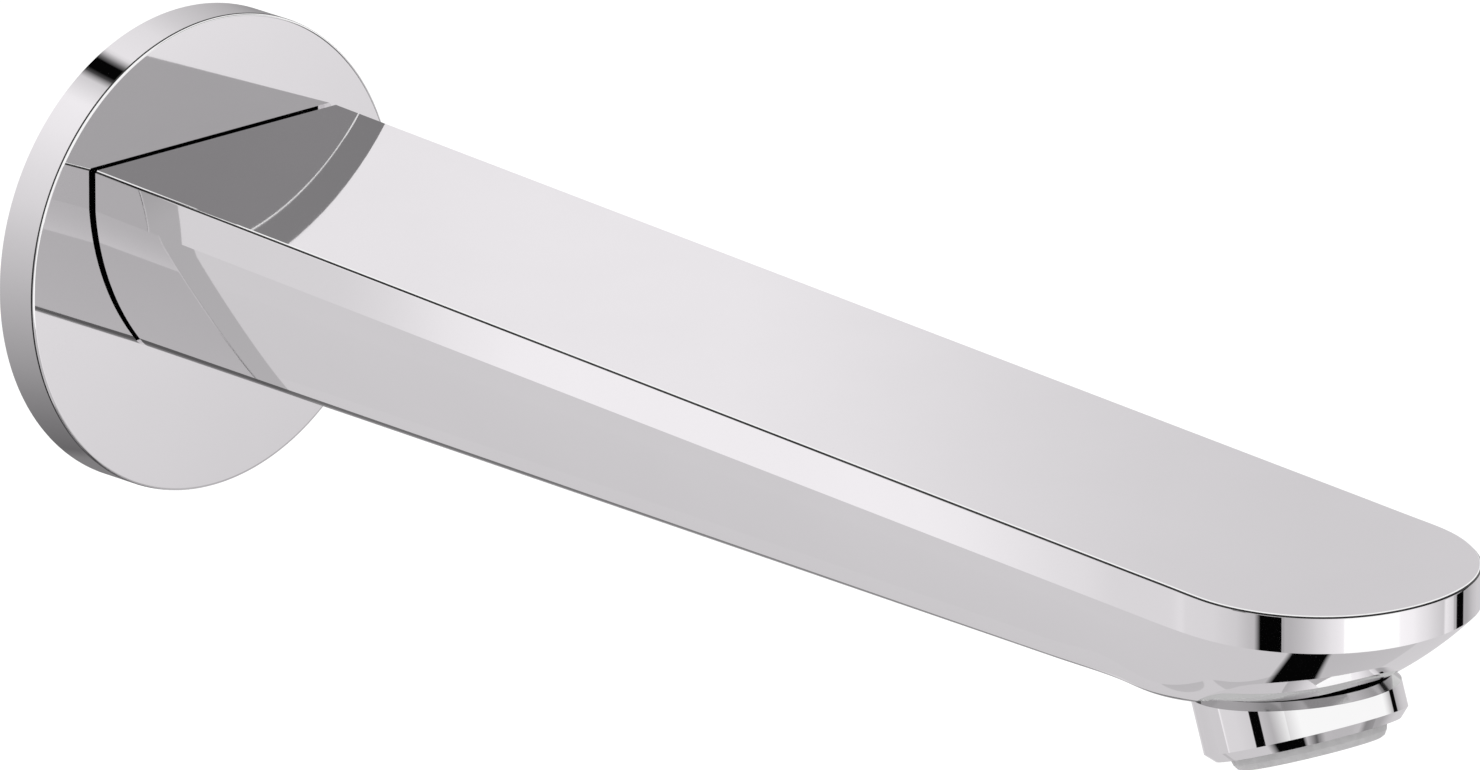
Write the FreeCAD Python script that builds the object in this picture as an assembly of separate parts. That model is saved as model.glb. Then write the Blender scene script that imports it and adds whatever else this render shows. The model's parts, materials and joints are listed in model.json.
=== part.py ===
import FreeCAD, Part
import math
import os

# Wall-mounted bath spout in millimetres. The origin is the centre of the rosette on the wall
# plane. The spout reaches out along -Y, the wall is on the +Y side and +Z is up.

# Rosette on the wall
rosette_diameter = 60.0
rosette_depth = 6.0
rosette_face_wall = 1.4
rosette_skirt_wall = 1.8
rosette_edge_round = 0.35
rosette_sleeve_wall = 1.4
rosette_sleeve_length = 4.6
wall_seal_width = 3.0
seal_to_skirt_gap = 0.10

# Outside of the spout body
body_width = 40.2
top_height_at_rosette = 14.9
top_slope_deg = 2.55
under_height_at_rosette = -9.8
under_slope_deg = 0.52
reach_to_nose = 219.1
nose_front_radius = 24.0
nose_corner_radius = 18.6
rim_height = 4.6
top_edge_chamfer = 0.35
flat_under_half_width = 11.5
under_corner_length = 1.4
shadow_gap = 0.6

# Rounded underside. The straight sides end at the first of these distances back from the nose,
# and the sections then fan round the nose from a point above the outlet. Each section starts
# to round below its rim, at an angle from the vertical, and ends at a corner on the underside.
side_rim_drop = 5.15
side_start_angle = 4.5
nose_side_stations = (51.1, 39.1, 30.1)
nose_fan_from_nose = 21.6
nose_fan_steps = 6
nose_side_rim_drop = 5.1
nose_side_start_angle = 18.0
nose_tip_start_angle = 47.0
nose_side_corner_radius = 6.0
nose_tip_corner_radius = 3.4

# Outlet boss, turned about an axis that leans towards the nose
outlet_from_nose = 20.5
outlet_wall_edge_drop = 3.8
outlet_tilt_deg = 20.0
boss_radius = 12.5
boss_lower_chamfer = 1.15
boss_upper_chamfer = 0.9
boss_shoulder_tilt_deg = 7.4
boss_shoulder_rise = 5.35
boss_thread_bore_radius = 10.45
boss_thread_bore_depth = 10.2
outlet_chamber_radius = 8.9
outlet_chamber_height = 5.5

# Water passage
waterway_half_width = 12.0
waterway_top_wall = 3.2
waterway_under_wall = 3.4
waterway_corner = 3.0
waterway_start_past_nipple = 18.0
waterway_end_from_nose = 29.1
inlet_bore_radius = 6.0

# Neck that carries the rosette
neck_radius = 11.2
neck_centre_height = 2.45
neck_stop_from_wall = 1.0
neck_depth_in_body = 1.0
rosette_on_neck_gap = 0.15
rosette_ring_groove_width = 1.8
rosette_ring_groove_depth = 1.15
rosette_ring_from_wall = 3.0

# Wall nipple, G 1/2 outside thread, plug-in end with two sealing rings
thread_radius = 10.4775
thread_length = 14.0
thread_start = 2.0
thread_lead_chamfer = 1.2
nipple_shoulder_radius = 9.0
spigot_radius = 7.0
spigot_gap = 0.05
spigot_length = 34.0
spigot_end_gap = 0.6
spigot_shoulder_gap = 0.3
spigot_lead_chamfer = 0.8
nipple_bore_radius = 4.6
nipple_hex_across_flats = 8.0
nipple_hex_depth = 9.0
nipple_ring_groove_width = 2.0
nipple_ring_groove_depth = 1.4
nipple_rings_from_end = (8.0, 3.6)
ring_clearance = 0.02
ring_section_sides = 10
screw_groove_depth = 1.3
screw_groove_width = 6.0

# Locking screw M5 in the underside
screw_radius = 2.5
screw_length = 3.8
screw_from_wall = 19.0
screw_hex_across_flats = 2.5
screw_hex_depth = 2.0
screw_tip_chamfer = 0.5
screw_hole_gap = 0.05
screw_tip_gap = 0.1

# Hidden-type aerator insert. Depths run outwards along the outlet axis from the sharp lower
# edge of the boss wall, so inner parts have negative depths.
casing_radius = 10.35
casing_top = -7.6
casing_flange_end = 0.7
casing_nose_radius = 9.4
casing_nose_end = 2.85
casing_nose_round = 0.8
casing_nose_draft = 0.35
casing_bore_radius = 8.2
casing_lip_radius = 7.3
casing_lip_depth = 0.7
stack_gap = 0.05
seal_ring_inner_radius = 8.5
regulator_height = 3.0
regulator_channel_inner = 3.0
regulator_channel_outer = 5.6
regulator_floor = 1.0
regulator_slot_count = 8
regulator_slot_radius = 0.7
regulator_ring_section = 1.9
jet_plate_height = 1.4
jet_plate_rim = 0.9
jet_plate_dish = 0.5
jet_hole_count = 14
jet_hole_radius = 0.6
jet_hole_circle = 5.2
small_hole_sides = 8
mixer_height = 2.3
mixer_top_radius = 6.6
mixer_throat_radius = 5.8
mixer_slot_count = 12
mixer_slot_width = 0.9
screen_thickness = 0.5
screen_pitch = 1.7
screen_bar = 0.45
screen_rim = 0.9
grille_height = 2.2
grille_pitch = 2.2
grille_web = 0.35
grille_rim = 0.7
strainer_height = 3.4
strainer_wall = 0.7
strainer_slot_count = 16
strainer_slot_width = 0.8
strainer_hole_radius = 0.5
strainer_inset = 0.25
strainer_hole_circles = (2.2, 4.4)
strainer_hole_counts = (6, 12)

# Overshoot of cutting tools past the faces that they cut
over = 2.0

V = FreeCAD.Vector
body_half = body_width / 2
body_start = rosette_depth + shadow_gap
fine = 0.001
top_slope = math.tan(math.radians(top_slope_deg))
under_slope = math.tan(math.radians(under_slope_deg))
stack_radius = casing_bore_radius - stack_gap
waterway_start = spigot_length + waterway_start_past_nipple
waterway_end = reach_to_nose - waterway_end_from_nose
outlet_reach = reach_to_nose - outlet_from_nose
outlet_tilt = math.radians(outlet_tilt_deg)
outlet_axis = V(0, -math.sin(outlet_tilt), -math.cos(outlet_tilt))


def top_z(y):
    """Height of the sloping top face."""
    return top_height_at_rosette - (-y - rosette_depth) * top_slope


def under_z(y):
    """Height of the flat underside, which falls slightly towards the nose."""
    return under_height_at_rosette - (-y - rosette_depth) * under_slope


outlet_centre = V(0, -outlet_reach, under_z(-outlet_reach) - outlet_wall_edge_drop)


def ring(outer, inner, y_start, y_end, centre_z=0.0):
    """A plain ring about a horizontal axis along Y."""
    base = V(0, y_start, centre_z)
    solid = Part.makeCylinder(outer, y_end - y_start, base, V(0, 1, 0))
    return solid.cut(Part.makeCylinder(inner, y_end - y_start, base, V(0, 1, 0)))


def lathe(profile, origin, axis):
    """Turn a closed profile of (radius, depth) pairs about an axis through origin."""
    side = V(1, 0, 0)
    points = [origin + side * r + axis * w for r, w in profile]
    face = Part.Face(Part.makePolygon(points + [points[0]]))
    return face.revolve(origin, axis, 360)


def prism(sides, corner_radius, length, origin, axis):
    """A regular prism that starts at origin and runs along axis."""
    side = V(1, 0, 0)
    other = axis.cross(side)
    points = []
    for k in range(sides + 1):
        angle = 2 * math.pi * k / sides
        across = side * math.cos(angle) + other * math.sin(angle)
        points.append(origin + across * corner_radius)
    return Part.Face(Part.makePolygon(points)).extrude(axis * length)


def hexagon_prism(across_flats, length, origin, axis):
    """A hexagon prism that starts at origin and runs along axis."""
    return prism(6, across_flats / math.sqrt(3), length, origin, axis)


def around(shape, count, origin, axis):
    """Copies of a shape, evenly spaced about an axis."""
    copies = []
    for k in range(count):
        copy = shape.copy()
        copy.rotate(origin, axis, 360.0 * k / count)
        copies.append(copy)
    return Part.makeCompound(copies)


def o_ring(inner_radius, section, origin, axis):
    """A sealing ring whose hole has the given radius. Its round section has many flat sides."""
    r = section / 2
    profile = []
    for k in range(ring_section_sides):
        angle = 2 * math.pi * (k + 0.5) / ring_section_sides
        profile.append((inner_radius + r - r * math.cos(angle), r * math.sin(angle)))
    return lathe(profile, origin, axis)


def nose_centres():
    """Centres of the nose's front arc and corner arc, for the -X half, and the joint angle."""
    front = V(0, -reach_to_nose + nose_front_radius, 0)
    corner_x = body_half - nose_corner_radius
    between = nose_front_radius - nose_corner_radius
    step = math.sqrt(between ** 2 - corner_x ** 2)
    corner = V(-corner_x, front.y - step, 0)
    return front, corner, math.atan2(step, corner_x)


def under_section(outer, inward, rim_drop, start_angle, corner_inset):
    """Control points of one upright section of the body's skin, from the top face down.

    They are the chamfered top edge, the upright rim, an arc that leaves the rim at start_angle
    from the vertical, and a softened corner on the flat underside. corner_inset is how far that
    corner lies in from the outline point outer.
    """

    def at(inset, z):
        return V(outer.x + inward.x * inset, outer.y + inward.y * inset, z)

    def on_plane(inset, height):
        return at(inset, height(outer.y + inward.y * inset))

    edge = on_plane(0.0, top_z)
    z_start = edge.z - rim_drop
    corner = on_plane(corner_inset, under_z)
    chord = math.hypot(corner_inset, z_start - corner.z)
    chord_angle = math.atan2(corner_inset, z_start - corner.z)
    first = math.radians(start_angle)
    radius = chord / (2 * math.sin(chord_angle - first))
    last = 2 * chord_angle - first - under_corner_length / radius
    reach = radius * 4 / 3 * math.tan((last - first) / 4)

    def on_arc(angle, along=0.0):
        inset = radius * (math.cos(first) - math.cos(angle)) + along * math.sin(angle)
        drop = radius * (math.sin(angle) - math.sin(first)) + along * math.cos(angle)
        return at(inset, z_start - drop)

    return [
        on_plane(top_edge_chamfer, top_z),
        at(0.0, edge.z - top_edge_chamfer),
        on_arc(first),
        on_arc(first, reach),
        on_arc(last, -reach),
        on_arc(last),
        corner,
        on_plane(corner_inset + under_corner_length, under_z),
    ]


def outline_from(centre, angle):
    """Where a ray from centre, angle degrees round from -X towards the nose, meets the outline."""
    front, corner, joint = nose_centres()
    ray = V(-math.cos(math.radians(angle)), -math.sin(math.radians(angle)), 0)

    def reach(arc_centre, arc_radius):
        off = centre - arc_centre
        along = off.dot(ray)
        return -along + math.sqrt(along ** 2 - off.dot(off) + arc_radius ** 2)

    if centre.y + ray.y * body_half > corner.y:
        return centre + ray * (body_half / -ray.x), ray * -1
    point = centre + ray * reach(corner, nose_corner_radius)
    toward = point - corner
    if math.atan2(-toward.y, -toward.x) > joint:
        point = centre + ray * reach(front, nose_front_radius)
    return point, ray * -1


def side_section(distance):
    """Section of the -X side at a distance from the wall, where the side is straight."""
    outer = V(-body_half, -distance, 0)
    corner_inset = body_half - flat_under_half_width
    return under_section(outer, V(1, 0, 0), side_rim_drop, side_start_angle, corner_inset)


def nose_section(angle):
    """Section of the nose, on a ray from the fan's centre."""
    centre = V(0, nose_fan_from_nose - reach_to_nose, 0)
    outer, inward = outline_from(centre, angle)
    share = math.sin(math.radians(angle))
    ease = 1 - (1 - share) ** 2
    rim_drop = nose_side_rim_drop + (rim_height - nose_side_rim_drop) * ease
    start_angle = nose_side_start_angle + (nose_tip_start_angle - nose_side_start_angle) * share
    corner_radius = nose_side_corner_radius + (nose_tip_corner_radius - nose_side_corner_radius) * ease
    inset = (outer - centre).Length - corner_radius
    return under_section(outer, inward, rim_drop, start_angle, inset)


def mirrored(points):
    return [V(-p.x, p.y, p.z) for p in points]


def skin_strips(rows, knots, mults, degree):
    """Faces of the top edge, the rim, the rounded side and the corner of a skin.

    Each cross-section is a chain of Bezier curves on the control points of a row.
    """
    strips = []
    for first, last in ((0, 1), (1, 2), (2, 5), (5, 7)):
        across = last - first
        poles = [row[first:last + 1] for row in rows]
        surface = Part.BSplineSurface()
        surface.buildFromPolesMultsKnots(
            poles, mults, [across + 1] * 2, knots, [0.0, 1.0], False, False, degree, across
        )
        strips.append(surface.toShape())
    return strips


def nose_skin(start, before):
    """Skin from the -X side round the nose to the +X side, tangent to the straight sides."""
    half = [side_section(reach_to_nose - d) for d in nose_side_stations]
    half += [nose_section(90.0 * k / nose_fan_steps) for k in range(nose_fan_steps + 1)]
    sections = half + [mirrored(s) for s in reversed(half[:-1])]
    steps = [0.0]
    for a, b in zip(sections, sections[1:]):
        steps.append(steps[-1] + (b[1] - a[1]).Length)
    run = reach_to_nose - nose_side_stations[0] - body_start
    columns = []
    for k, point in enumerate(start):
        slope = (point - before[k]) * (1 / run)
        leaving = V(slope.x, -slope.y, -slope.z)
        curve = Part.BSplineCurve()
        curve.interpolate(
            Points=[s[k] for s in sections], Parameters=steps,
            InitialTangent=slope, FinalTangent=leaving, Scale=False,
        )
        columns.append(curve)
    rows = [list(row) for row in zip(*[c.getPoles() for c in columns])]
    return skin_strips(rows, columns[0].getKnots(), columns[0].getMultiplicities(), 3)


def solid_form():
    """The body's outside as a solid, before the boss and the bores."""
    rear = side_section(body_start)
    front = side_section(reach_to_nose - nose_side_stations[0])
    faces = skin_strips([rear, front], [0.0, 1.0], [2, 2], 1)
    faces += skin_strips([mirrored(front), mirrored(rear)], [0.0, 1.0], [2, 2], 1)
    faces += nose_skin(front, rear)
    edges = [e for f in faces for e in f.Edges]

    def lid(test, far):
        rim = []
        for edge in edges:
            middle = edge.valueAt((edge.FirstParameter + edge.LastParameter) / 2)
            if all(test(p) for p in [middle] + [v.Point for v in edge.Vertexes]):
                rim.append(edge)
        rim += [Part.LineSegment(p, mirrored([p])[0]).toShape() for p in far]
        return Part.Face(Part.Wire(Part.__sortEdges__(rim)))

    faces.append(lid(lambda p: abs(p.z - top_z(p.y)) < fine, [rear[0]]))
    faces.append(lid(lambda p: abs(p.z - under_z(p.y)) < fine, [rear[-1]]))
    faces.append(lid(lambda p: abs(p.y + body_start) < fine, [rear[0], rear[-1]]))
    shell = Part.Shell(faces)
    shell.sewShape(fine)
    return Part.Solid(shell)


def boss():
    """Turned outlet boss with its lower chamfer and its sloping, chamfered shoulder."""
    top = -boss_shoulder_rise - boss_upper_chamfer
    deep = top - boss_radius
    end = boss_lower_chamfer
    solid = lathe(
        [(0, deep), (boss_radius, deep), (boss_radius, 0), (boss_radius - end, end), (0, end)],
        outlet_centre, outlet_axis,
    )
    tilt = math.radians(boss_shoulder_tilt_deg)
    up = V(0, math.sin(tilt), math.cos(tilt))
    plane_point = outlet_centre + outlet_axis * top
    size = 4 * boss_radius
    above = Part.makePlane(size, size, plane_point + V(-size / 2, -size / 2, 0))
    above.rotate(plane_point, V(1, 0, 0), -boss_shoulder_tilt_deg)
    solid = solid.cut(above.extrude(up * size))
    rims = []
    for edge in solid.Edges:
        points = edge.discretize(5)
        if all(abs((p - plane_point).dot(up)) < fine for p in points):
            rims.append(edge)
    return solid.makeChamfer(boss_upper_chamfer, rims)


def duct_wire(distance):
    """Rounded cross-section of the cast waterway at a distance from the wall."""
    y = -distance
    high = top_z(y) - waterway_top_wall
    low = under_z(y) + waterway_under_wall
    wide = waterway_half_width
    r = waterway_corner
    corners = ((-wide, low, 180), (-wide, high, 90), (wide, high, 0), (wide, low, 270))
    edges = []
    last = None
    for x, z, turn in corners:
        centre = V(x - math.copysign(r, x), y, z - math.copysign(r, z - (high + low) / 2))
        points = []
        for angle in (turn + 90, turn + 45, turn):
            a = math.radians(angle)
            points.append(centre + V(math.cos(a), 0, math.sin(a)) * r)
        if last is None:
            first = points[0]
        else:
            edges.append(Part.LineSegment(last, points[0]).toShape())
        edges.append(Part.Arc(*points).toShape())
        last = points[2]
    edges.append(Part.LineSegment(last, first).toShape())
    return Part.Wire(edges)


def neck():
    """Round neck behind the body, with the groove for the ring that grips the rosette."""
    front = body_start + neck_depth_in_body
    solid = Part.makeCylinder(
        neck_radius, front - neck_stop_from_wall, V(0, -front, neck_centre_height), V(0, 1, 0)
    )
    half = rosette_ring_groove_width / 2
    groove = ring(
        neck_radius + over, neck_radius - rosette_ring_groove_depth,
        -rosette_ring_from_wall - half, -rosette_ring_from_wall + half, neck_centre_height,
    )
    return solid.cut(groove)


def spout_body():
    """Hollow cast body with the outlet boss, the neck and all bores."""
    body = solid_form().fuse([boss(), neck()])
    spigot_bore = Part.makeCylinder(
        spigot_radius + spigot_gap, spigot_length + spigot_end_gap + over,
        V(0, over, 0), V(0, -1, 0),
    )
    inlet = Part.makeCylinder(inlet_bore_radius, waterway_start + over, V(0, 0, 0), V(0, -1, 0))
    duct = Part.makeLoft([duct_wire(waterway_start), duct_wire(waterway_end)], True, True)
    lip = boss_lower_chamfer
    seat = lip - boss_thread_bore_depth
    roof = seat - outlet_chamber_height
    outlet = lathe(
        [(0, roof), (outlet_chamber_radius, roof), (outlet_chamber_radius, seat),
         (boss_thread_bore_radius, seat), (boss_thread_bore_radius, lip + over), (0, lip + over)],
        outlet_centre, outlet_axis,
    )
    screw_hole = Part.makeCylinder(
        screw_radius + screw_hole_gap, -under_height_at_rosette + over,
        V(0, -screw_from_wall, under_height_at_rosette - over),
    )
    return body.cut([spigot_bore, inlet, duct, outlet, screw_hole]).removeSplitter()


def rosette():
    """Turned cover plate: a face, a skirt to the wall and a sleeve round the neck."""
    outer = rosette_diameter / 2
    inner = outer - rosette_skirt_wall
    back = -rosette_depth + rosette_face_wall
    r = rosette_edge_round
    cup = lathe(
        [(0, -rosette_depth), (outer - r, -rosette_depth), (outer, -rosette_depth + r),
         (outer, 0), (inner, 0), (inner, back), (0, back)],
        V(0, 0, 0), V(0, 1, 0),
    )
    hole = neck_radius + rosette_on_neck_gap
    centre = neck_centre_height
    sleeve_end = -rosette_depth + rosette_sleeve_length
    sleeve = ring(hole + rosette_sleeve_wall, hole, -rosette_depth, sleeve_end, centre)
    opening = Part.makeCylinder(
        hole, rosette_depth + 2 * over, V(0, -rosette_depth - over, centre), V(0, 1, 0)
    )
    return cup.cut(opening).fuse(sleeve).removeSplitter()


def rosette_ring():
    inner = neck_radius - rosette_ring_groove_depth + ring_clearance
    outer = neck_radius + rosette_on_neck_gap - ring_clearance
    return o_ring(inner, outer - inner, V(0, -rosette_ring_from_wall, neck_centre_height), V(0, 1, 0))


def wall_seal():
    outer = rosette_diameter / 2 - rosette_skirt_wall - seal_to_skirt_gap
    return ring(outer, outer - wall_seal_width, -rosette_depth + rosette_face_wall, 0)


def wall_nipple():
    """Threaded nipple: G 1/2 at the wall, and a plug-in spigot with a hexagon socket."""
    end = thread_start + thread_length
    lead = thread_lead_chamfer
    nose = spigot_lead_chamfer
    shoulder_start = -neck_stop_from_wall + spigot_shoulder_gap
    groove_r = spigot_radius - nipple_ring_groove_depth
    half = nipple_ring_groove_width / 2
    profile = [(0, -spigot_length), (spigot_radius - nose, -spigot_length)]
    profile.append((spigot_radius, -spigot_length + nose))
    ring_places = [spigot_length - d for d in sorted(nipple_rings_from_end)]
    grooves = [(place, half, groove_r) for place in ring_places]
    grooves.append((screw_from_wall, screw_groove_width / 2, spigot_radius - screw_groove_depth))
    for place, width, depth in grooves:
        profile += [(spigot_radius, -place - width), (depth, -place - width)]
        profile += [(depth, -place + width), (spigot_radius, -place + width)]
    profile += [(spigot_radius, shoulder_start), (nipple_shoulder_radius, shoulder_start)]
    profile += [(nipple_shoulder_radius, thread_start), (thread_radius, thread_start)]
    profile += [(thread_radius, end - lead), (thread_radius - lead, end), (0, end)]
    solid = lathe(profile, V(0, 0, 0), V(0, 1, 0))
    socket_end = -spigot_length + nipple_hex_depth
    bore = Part.makeCylinder(nipple_bore_radius, end - socket_end + over, V(0, socket_end, 0), V(0, 1, 0))
    socket = hexagon_prism(
        nipple_hex_across_flats, nipple_hex_depth + over, V(0, -spigot_length - over, 0), V(0, 1, 0)
    )
    return solid.cut([bore, socket])


def nipple_ring(from_end):
    inner = spigot_radius - nipple_ring_groove_depth + ring_clearance
    outer = spigot_radius + spigot_gap - ring_clearance
    return o_ring(inner, outer - inner, V(0, from_end - spigot_length, 0), V(0, 1, 0))


def locking_screw():
    """M5 grub screw that bears on the nipple's groove from below."""
    tip = -(spigot_radius - screw_groove_depth) - screw_tip_gap
    base = tip - screw_length
    axis = V(0, 0, 1)
    origin = V(0, -screw_from_wall, base)
    c = screw_tip_chamfer
    solid = lathe(
        [(0, 0), (screw_radius, 0), (screw_radius, screw_length - c),
         (screw_radius - c, screw_length), (0, screw_length)],
        origin, axis,
    )
    return solid.cut(hexagon_prism(screw_hex_across_flats, screw_hex_depth, origin, axis))


def aerator_casing():
    """Casing with its screw-in collar, its nose below the boss and a lip that holds the stack."""
    nose = casing_nose_radius
    r = casing_nose_round
    lip_top = casing_nose_end - casing_lip_depth
    return lathe(
        [(casing_radius, casing_top), (casing_radius, casing_flange_end),
         (nose + casing_nose_draft, casing_flange_end), (nose, casing_nose_end - r),
         (nose - r / 2, casing_nose_end - r / 4), (nose - r, casing_nose_end),
         (casing_lip_radius, casing_nose_end), (casing_lip_radius, lip_top),
         (casing_bore_radius, lip_top), (casing_bore_radius, casing_top)],
        outlet_centre, outlet_axis,
    )


def seal_ring():
    seat = boss_lower_chamfer - boss_thread_bore_depth
    return lathe(
        [(seal_ring_inner_radius, seat), (casing_radius, seat),
         (casing_radius, casing_top), (seal_ring_inner_radius, casing_top)],
        outlet_centre, outlet_axis,
    )


def disc(radius, top, bottom):
    """A plain disc about the outlet axis."""
    return lathe([(0, top), (radius, top), (radius, bottom), (0, bottom)], outlet_centre, outlet_axis)


def outlet_pin(radius, circle, top, bottom):
    """A cutter for a small hole at a distance from the outlet axis."""
    base = outlet_centre + V(circle, 0, 0) + outlet_axis * (top - over)
    return prism(small_hole_sides, radius, bottom - top + 2 * over, base, outlet_axis)


def flow_regulator(top, bottom):
    """Regulator body with the ring channel and its passages."""
    solid = disc(stack_radius, top, bottom)
    floor = bottom - regulator_floor
    channel = lathe(
        [(regulator_channel_inner, top - over), (regulator_channel_outer, top - over),
         (regulator_channel_outer, floor), (regulator_channel_inner, floor)],
        outlet_centre, outlet_axis,
    )
    middle = (regulator_channel_inner + regulator_channel_outer) / 2
    pin = outlet_pin(regulator_slot_radius, middle, top, bottom)
    return solid.cut([channel, around(pin, regulator_slot_count, outlet_centre, outlet_axis)])


def regulator_ring(bottom):
    """Elastic ring that rests on the channel's floor."""
    section = regulator_ring_section
    middle = (regulator_channel_inner + regulator_channel_outer) / 2
    depth = bottom - regulator_floor - section / 2 - ring_clearance
    return o_ring(middle - section / 2, section, outlet_centre + outlet_axis * depth, outlet_axis)


def jet_plate(top, bottom):
    """Dished plate with a circle of jet holes."""
    plate = disc(stack_radius, top, bottom)
    dish = disc(stack_radius - jet_plate_rim, top - over, top + jet_plate_dish)
    pin = outlet_pin(jet_hole_radius, jet_hole_circle, top, bottom)
    return plate.cut([dish, around(pin, jet_hole_count, outlet_centre, outlet_axis)])


def mixer(top, bottom):
    """Funnel that draws air in through the slots of its rim."""
    solid = lathe(
        [(mixer_top_radius, top), (stack_radius, top), (stack_radius, bottom),
         (mixer_throat_radius, bottom)],
        outlet_centre, outlet_axis,
    )
    width = mixer_slot_width
    depth = stack_radius - mixer_top_radius
    slot = Part.makeBox(depth + over, width, bottom - top, V(mixer_top_radius + depth / 2, 0, 0))
    slot.translate(V(0, -width / 2, 0))
    slot.Placement = outlet_placement(top).multiply(slot.Placement)
    return solid.cut(around(slot, mixer_slot_count, outlet_centre, outlet_axis))


def outlet_placement(depth):
    """Placement whose Z axis is the outlet axis, at a depth along it."""
    return FreeCAD.Placement(
        outlet_centre + outlet_axis * depth, FreeCAD.Rotation(V(0, 0, 1), outlet_axis)
    )


def place_on_outlet(shape, depth, turn=0.0):
    """Move a shape made about the Z axis onto the outlet axis."""
    shape.rotate(V(0, 0, 0), V(0, 0, 1), turn)
    shape.Placement = outlet_placement(depth).multiply(shape.Placement)
    return shape


def screen(top, turn):
    """Screen with square meshes inside a plain rim."""
    plate = Part.makeCylinder(stack_radius, screen_thickness)
    half = (screen_pitch - screen_bar) / 2
    limit = stack_radius - screen_rim
    count = int(limit / screen_pitch)
    holes = []
    for i in range(-count, count + 1):
        for k in range(-count, count + 1):
            x = i * screen_pitch
            y = k * screen_pitch
            if math.hypot(abs(x) + half, abs(y) + half) < limit:
                corner = V(x - half, y - half, -over)
                holes.append(Part.makeBox(2 * half, 2 * half, screen_thickness + 2 * over, corner))
    return place_on_outlet(plate.cut(holes), top, turn)


def outlet_grille(top, bottom):
    """Honeycomb that straightens the stream."""
    height = bottom - top
    plate = Part.makeCylinder(stack_radius, height)
    flats = grille_pitch - grille_web
    corner = flats / math.sqrt(3)
    limit = casing_lip_radius - grille_rim
    count = int(2 * limit / grille_pitch)
    cells = []
    for i in range(-count, count + 1):
        for k in range(-count, count + 1):
            x = (i + k / 2) * grille_pitch
            y = k * grille_pitch * math.sqrt(3) / 2
            if math.hypot(x, y) + corner < limit:
                cells.append(hexagon_cell(flats, height, x, y))
    return place_on_outlet(plate.cut(cells), top)


def hexagon_cell(flats, height, x, y):
    cell = hexagon_prism(flats, height + 2 * over, V(0, 0, -over), V(0, 0, 1))
    cell.rotate(V(0, 0, 0), V(0, 0, 1), 90)
    cell.translate(V(x, y, 0))
    return cell


def strainer(bottom):
    """Slotted basket that keeps grit out of the regulator."""
    wall = strainer_wall
    outer = stack_radius - strainer_inset
    top = bottom - strainer_height
    solid = lathe(
        [(0, top), (outer - wall, top), (outer, top + wall), (outer, bottom),
         (outer - wall, bottom), (outer - wall, top + wall), (0, top + wall)],
        outlet_centre, outlet_axis,
    )
    slot_top = top + 2 * wall
    slot = Part.makeBox(2 * over, strainer_slot_width, strainer_height - 3 * wall)
    slot.translate(V(outer - over, -strainer_slot_width / 2, 0))
    slot.Placement = outlet_placement(slot_top).multiply(slot.Placement)
    cutters = [around(slot, strainer_slot_count, outlet_centre, outlet_axis)]
    for circle, count in zip(strainer_hole_circles, strainer_hole_counts):
        pin = outlet_pin(strainer_hole_radius, circle, top, top + wall)
        cutters.append(around(pin, count, outlet_centre, outlet_axis))
    return solid.cut(cutters)


def aerator_pieces():
    """The stack inside the casing, from the lip upwards."""
    grille_bottom = casing_nose_end - casing_lip_depth
    grille_top = grille_bottom - grille_height
    lower_screen_top = grille_top - screen_thickness
    upper_screen_top = lower_screen_top - screen_thickness
    mixer_top = upper_screen_top - mixer_height
    plate_top = mixer_top - jet_plate_height
    regulator_top = plate_top - regulator_height
    return {
        "outlet_grille": outlet_grille(grille_top, grille_bottom),
        "lower_screen": screen(lower_screen_top, 0.0),
        "upper_screen": screen(upper_screen_top, 45.0),
        "air_mixer": mixer(mixer_top, upper_screen_top),
        "jet_plate": jet_plate(plate_top, mixer_top),
        "flow_regulator": flow_regulator(regulator_top, plate_top),
        "regulator_ring": regulator_ring(plate_top),
        "inlet_strainer": strainer(regulator_top),
    }


def all_pieces():
    pieces = {
        "spout_body": spout_body(),
        "rosette": rosette(),
        "rosette_ring": rosette_ring(),
        "wall_seal": wall_seal(),
        "wall_nipple": wall_nipple(),
        "nipple_ring_rear": nipple_ring(max(nipple_rings_from_end)),
        "nipple_ring_front": nipple_ring(min(nipple_rings_from_end)),
        "locking_screw": locking_screw(),
        "aerator_casing": aerator_casing(),
        "aerator_seal": seal_ring(),
    }
    pieces.update(aerator_pieces())
    return pieces


os.makedirs("parts", exist_ok=True)
for name, shape in all_pieces().items():
    shape.exportStep("parts/" + name + ".step")
    print(name, "valid", shape.isValid(), "solids", len(shape.Solids), "volume", round(shape.Volume, 1))
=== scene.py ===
import json
import math

import bpy
import numpy as np
from mathutils import Matrix


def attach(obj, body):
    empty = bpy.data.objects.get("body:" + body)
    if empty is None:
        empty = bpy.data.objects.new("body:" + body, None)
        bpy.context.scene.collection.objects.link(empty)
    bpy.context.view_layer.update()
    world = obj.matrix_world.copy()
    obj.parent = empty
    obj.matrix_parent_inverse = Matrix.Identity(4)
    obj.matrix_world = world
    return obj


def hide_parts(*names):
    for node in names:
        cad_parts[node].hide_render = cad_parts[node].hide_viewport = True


# Looks of the wall-mounted bath spout. Shapes are worked out in millimetres in the row frame
# and stored in metres. The spout reaches out along -Y and the wall plane is y = 0.

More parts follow.
